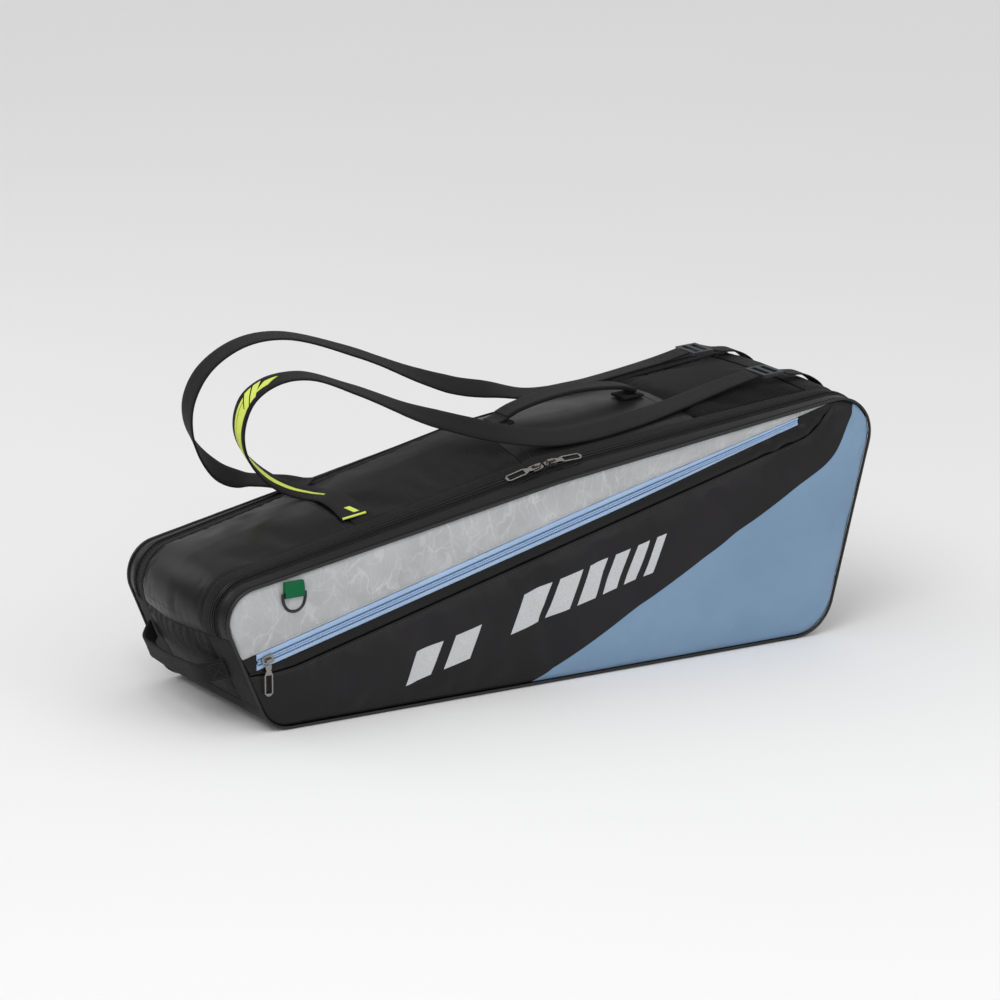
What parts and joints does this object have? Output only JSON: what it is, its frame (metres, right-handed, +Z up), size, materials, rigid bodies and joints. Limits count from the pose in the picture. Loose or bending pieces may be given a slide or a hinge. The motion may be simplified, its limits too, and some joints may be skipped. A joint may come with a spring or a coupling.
{
  "type": "racket tournament bag",
  "caption": "Long domed sports bag with zipped compartments that fold open at the base, a slanted front pocket, a top handle, an end handle and a pair of shoulder straps.",
  "frame": {"origin": "bottom centre of the bounding box, on the surface that the bag stands on", "axes": "+X from the grip end to the head end, -Y out of the face with the pocket, +Z up"},
  "size_m": [0.7822, 0.275, 0.3505],
  "materials": {
    "pu": "matt coated synthetic leather with a soft grain",
    "nylon": "woven nylon",
    "mesh": "padded spacer mesh",
    "face_dark": "smooth coated fabric, satin",
    "face_blue": "smooth coated fabric, satin",
    "pocket_grey": "coated fabric printed with fine pale branching lines",
    "zip_blue": "woven zip tape",
    "piping": "satin piping",
    "webbing": "woven webbing",
    "zip_metal": "brushed gunmetal casting",
    "ring_metal": "dark painted wire",
    "buckle_plastic": "moulded plastic",
    "tab_green": "woven ribbon",
    "lining": "foam padding covered in lining cloth"
  },
  "bodies": {
    "bag": {"compartment_divider": "lining", "front_bag_gusset": "nylon", "front_zip_bag_side": "nylon", "front_gusset_foot_head": "nylon", "front_gusset_foot_grip": "nylon", "front_lower_webbing": "webbing", "shoulder_strap_front": "webbing", "rear_bag_gusset": "nylon", "rear_zip_bag_side": "nylon", "rear_gusset_foot_head": "nylon", "rear_gusset_foot_grip": "nylon", "rear_lower_webbing": "webbing", "shoulder_strap_rear": "webbing", "head_end_panel": "nylon", "top_panel_ripstop": "nylon", "grip_end_panel": "nylon", "back_pad": "mesh", "handle_patch": "pu", "top_panel_grip": "pu", "grip_end_base": "pu", "base_panel": "pu", "head_end_base": "pu", "carry_handle_foot_grip": "webbing", "carry_handle_foot_head": "webbing", "end_handle": "webbing"},
    "front_flap": {"pocket_panel": "pocket_grey", "pocket_zip_end_grip": "nylon", "pocket_zip_end_head": "nylon", "pocket_binding": "nylon", "pocket_zip_tape_lower": "zip_blue", "pocket_zip_coil": "zip_blue", "pocket_zip_tape_upper": "zip_blue", "front_panel_dark": "face_dark", "front_panel_blue": "face_blue", "front_padding": "lining", "front_piping": "piping", "front_flap_gusset": "nylon", "front_zip_flap_side": "nylon", "ring_tab": "tab_green"},
    "rear_flap": {"rear_panel_dark": "face_dark", "rear_panel_blue": "face_blue", "rear_padding": "lining", "rear_piping": "piping", "rear_flap_gusset": "nylon", "rear_zip_flap_side": "nylon"},
    "front_slider_grip": {"front_slider_grip": "zip_metal"},
    "front_pull_grip": {"front_pull_grip": "zip_metal"},
    "front_slider_head": {"front_slider_head": "zip_metal"},
    "front_pull_head": {"front_pull_head": "zip_metal"},
    "rear_slider_grip": {"rear_slider_grip": "zip_metal"},
    "rear_pull_grip": {"rear_pull_grip": "zip_metal"},
    "rear_slider_head": {"rear_slider_head": "zip_metal"},
    "rear_pull_head": {"rear_pull_head": "zip_metal"},
    "pocket_slider": {"pocket_slider": "zip_metal"},
    "pocket_pull": {"pocket_pull": "zip_metal"},
    "d_ring": {"d_ring": "ring_metal"},
    "carry_handle": {"carry_handle": "webbing"},
    "front_buckle": {"front_buckle": "buckle_plastic"},
    "rear_buckle": {"rear_buckle": "buckle_plastic"}
  },
  "joints": [
    {"name": "front_flap_open", "type": "hinge", "parent": "bag", "child": "front_flap", "pos_m": [-0.00432, -0.12388, 0.0022], "axis": [0.9994, -0.036, 0], "range_deg": [0, 15]},
    {"name": "rear_flap_open", "type": "hinge", "parent": "bag", "child": "rear_flap", "pos_m": [-0.00432, 0.11776, 0.0022], "axis": [-0.9994, -0.036, 0], "range_deg": [0, 15]},
    {"name": "front_zip_grip", "type": "slide", "parent": "bag", "child": "front_slider_grip", "axis": [-0.9818, 0.0355, -0.1864], "range_m": [0, 0.25]},
    {"name": "front_pull_grip_lift", "type": "hinge", "parent": "front_slider_grip", "child": "front_pull_grip", "pos_m": [-0.00635, -0.09926, 0.22767], "axis": [-0.0319, 0.9375, 0.3466], "range_deg": [0, 120]},
    {"name": "front_zip_head", "type": "slide", "parent": "bag", "child": "front_slider_head", "axis": [0.9943, -0.0356, 0.1002], "range_m": [0, 0.25]},
    {"name": "front_pull_head_lift", "type": "hinge", "parent": "front_slider_head", "child": "front_pull_head", "pos_m": [0.00859, -0.0998, 0.23032], "axis": [0.0024, -0.9352, -0.3541], "range_deg": [0, 120]},
    {"name": "rear_zip_grip", "type": "slide", "parent": "bag", "child": "rear_slider_grip", "axis": [-0.9944, -0.0357, -0.0994], "range_m": [0, 0.15]},
    {"name": "rear_pull_grip_lift", "type": "hinge", "parent": "rear_slider_grip", "child": "rear_pull_grip", "pos_m": [0.16198, 0.09869, 0.24596], "axis": [-0.0118, 0.9729, -0.231], "range_deg": [0, 35]},
    {"name": "rear_zip_head", "type": "slide", "parent": "bag", "child": "rear_slider_head", "axis": [0.9944, 0.0357, 0.0994], "range_m": [0, 0.15]},
    {"name": "rear_pull_head_lift", "type": "hinge", "parent": "rear_slider_head", "child": "rear_pull_head", "pos_m": [0.17643, 0.09916, 0.24741], "axis": [0.0131, -0.9757, 0.2187], "range_deg": [0, 120]},
    {"name": "pocket_zip", "type": "slide", "parent": "front_flap", "child": "pocket_slider", "axis": [0.9684, -0.0349, 0.2471], "range_m": [0, 0.62]},
    {"name": "pocket_pull_lift", "type": "hinge", "parent": "pocket_slider", "child": "pocket_pull", "pos_m": [-0.33332, -0.11379, 0.07824], "axis": [-0.9994, 0.036, 0], "range_deg": [0, 110]},
    {"name": "d_ring_lift", "type": "hinge", "parent": "front_flap", "child": "d_ring", "pos_m": [-0.30332, -0.11421, 0.1432], "axis": [-1, 0, 0], "range_deg": [0, 100]},
    {"name": "carry_handle_lean", "type": "hinge", "parent": "bag", "child": "carry_handle", "pos_m": [0.08667, -0.00306, 0.25284], "axis": [0.999, 0, 0.044], "range_deg": [-13, 13]},
    {"name": "front_buckle_lift", "type": "hinge", "parent": "bag", "child": "front_buckle", "pos_m": [0.30127, -0.04906, 0.27309], "axis": [0, -1, 0], "range_deg": [0, 35]},
    {"name": "rear_buckle_lift", "type": "hinge", "parent": "bag", "child": "rear_buckle", "pos_m": [0.29727, 0.07694, 0.27077], "axis": [0, -1, 0], "range_deg": [0, 35]}
  ]
}
